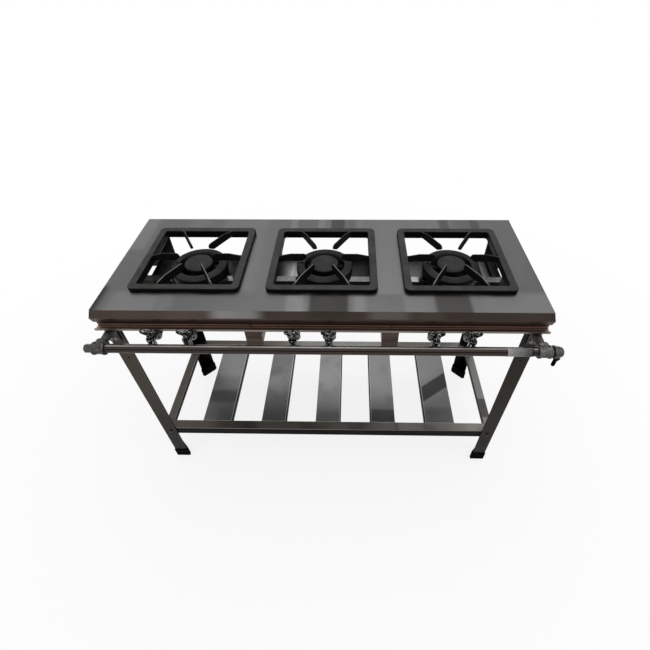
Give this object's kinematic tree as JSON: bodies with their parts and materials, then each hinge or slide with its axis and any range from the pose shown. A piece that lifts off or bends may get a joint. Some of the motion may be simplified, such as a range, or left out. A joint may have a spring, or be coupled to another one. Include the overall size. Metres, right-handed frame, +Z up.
{
  "type": "propane burner stand",
  "caption": "Low stainless gas stand with square cast-iron grates over double burners, a front manifold with butterfly taps, angle legs and a slatted lower shelf.",
  "frame": {"origin": "middle of the whole outline on the floor", "axes": "+X to the right along the row of burners, +Y away from the taps towards the back, +Z up"},
  "size_m": [1.2226, 0.5326, 0.79],
  "materials": {
    "stainless": "brushed stainless sheet",
    "frame_steel": "dull stainless angle and rail",
    "cast_iron": "black enamelled casting",
    "pipework": "galvanised pipe and fittings",
    "chrome": "chromed tap",
    "brass": "turned brass jet",
    "zinc": "zinc-plated fastener",
    "black_plastic": "moulded black plastic"
  },
  "bodies": {
    "stand": {"top_panel": "stainless", "frame_front_rail": "frame_steel", "frame_back_rail": "frame_steel", "frame_left_rail": "frame_steel", "frame_right_rail": "frame_steel", "cross_member_left": "frame_steel", "cross_member_right": "frame_steel", "burner_support": "stainless", "leg_front_left": "frame_steel", "leg_front_right": "frame_steel", "leg_back_left": "frame_steel", "leg_back_right": "frame_steel", "foot_caps": "black_plastic", "shelf_front_rail": "frame_steel", "shelf_back_rail": "frame_steel", "shelf_left_rail": "frame_steel", "shelf_right_rail": "frame_steel", "shelf_slat_1": "stainless", "shelf_slat_2": "stainless", "shelf_slat_3": "stainless", "shelf_slat_4": "stainless", "shelf_slat_5": "stainless", "burner_body_left": "cast_iron", "burner_body_middle": "cast_iron", "burner_body_right": "cast_iron", "burner_ring_left": "cast_iron", "burner_ring_middle": "cast_iron", "burner_ring_right": "cast_iron", "manifold_pipe": "pipework", "tee_left": "pipework", "tee_right": "pipework", "side_pipe_left": "pipework", "side_pipe_right": "pipework", "end_plug": "pipework", "inlet_nipple": "pipework", "inlet_elbow": "pipework", "hose_nozzle": "black_plastic", "tap_body_1": "chrome", "tap_body_2": "chrome", "tap_body_3": "chrome", "tap_body_4": "chrome", "tap_body_5": "chrome", "tap_body_6": "chrome", "gas_jets": "brass", "air_shutters": "zinc", "frame_bolts": "zinc", "shelf_bolts": "zinc", "burner_bolts": "zinc"},
    "grate_left_casting": {"grate_left": "cast_iron"},
    "grate_middle_casting": {"grate_middle": "cast_iron"},
    "grate_right_casting": {"grate_right": "cast_iron"},
    "burner_cap_left_casting": {"burner_cap_left": "cast_iron"},
    "burner_cap_middle_casting": {"burner_cap_middle": "cast_iron"},
    "burner_cap_right_casting": {"burner_cap_right": "cast_iron"},
    "tap_1": {"tap_handle_1": "chrome"},
    "tap_2": {"tap_handle_2": "chrome"},
    "tap_3": {"tap_handle_3": "chrome"},
    "tap_4": {"tap_handle_4": "chrome"},
    "tap_5": {"tap_handle_5": "chrome"},
    "tap_6": {"tap_handle_6": "chrome"}
  },
  "joints": [
    {"name": "tap_1_turn", "type": "hinge", "parent": "stand", "child": "tap_1", "pos_m": [-0.44735, -0.22475, 0.69], "axis": [0, 0, 1], "range_deg": [0, 90]},
    {"name": "tap_2_turn", "type": "hinge", "parent": "stand", "child": "tap_2", "pos_m": [-0.35335, -0.22475, 0.69], "axis": [0, 0, 1], "range_deg": [0, 90]},
    {"name": "tap_3_turn", "type": "hinge", "parent": "stand", "child": "tap_3", "pos_m": [-0.07735, -0.22475, 0.69], "axis": [0, 0, 1], "range_deg": [0, 90]},
    {"name": "tap_4_turn", "type": "hinge", "parent": "stand", "child": "tap_4", "pos_m": [0.01665, -0.22475, 0.69], "axis": [0, 0, 1], "range_deg": [0, 90]},
    {"name": "tap_5_turn", "type": "hinge", "parent": "stand", "child": "tap_5", "pos_m": [0.29265, -0.22475, 0.69], "axis": [0, 0, 1], "range_deg": [0, 90]},
    {"name": "tap_6_turn", "type": "hinge", "parent": "stand", "child": "tap_6", "pos_m": [0.38665, -0.22475, 0.69], "axis": [0, 0, 1], "range_deg": [0, 90]},
    {"name": "grate_left_lift", "type": "slide", "parent": "stand", "child": "grate_left_casting", "axis": [0, 0, 1], "range_m": [0, 0.06]},
    {"name": "grate_middle_lift", "type": "slide", "parent": "stand", "child": "grate_middle_casting", "axis": [0, 0, 1], "range_m": [0, 0.06]},
    {"name": "grate_right_lift", "type": "slide", "parent": "stand", "child": "grate_right_casting", "axis": [0, 0, 1], "range_m": [0, 0.06]},
    {"name": "burner_cap_left_lift", "type": "slide", "parent": "stand", "child": "burner_cap_left_casting", "axis": [0, 0, 1], "range_m": [0, 0.04]},
    {"name": "burner_cap_middle_lift", "type": "slide", "parent": "stand", "child": "burner_cap_middle_casting", "axis": [0, 0, 1], "range_m": [0, 0.04]},
    {"name": "burner_cap_right_lift", "type": "slide", "parent": "stand", "child": "burner_cap_right_casting", "axis": [0, 0, 1], "range_m": [0, 0.04]}
  ]
}
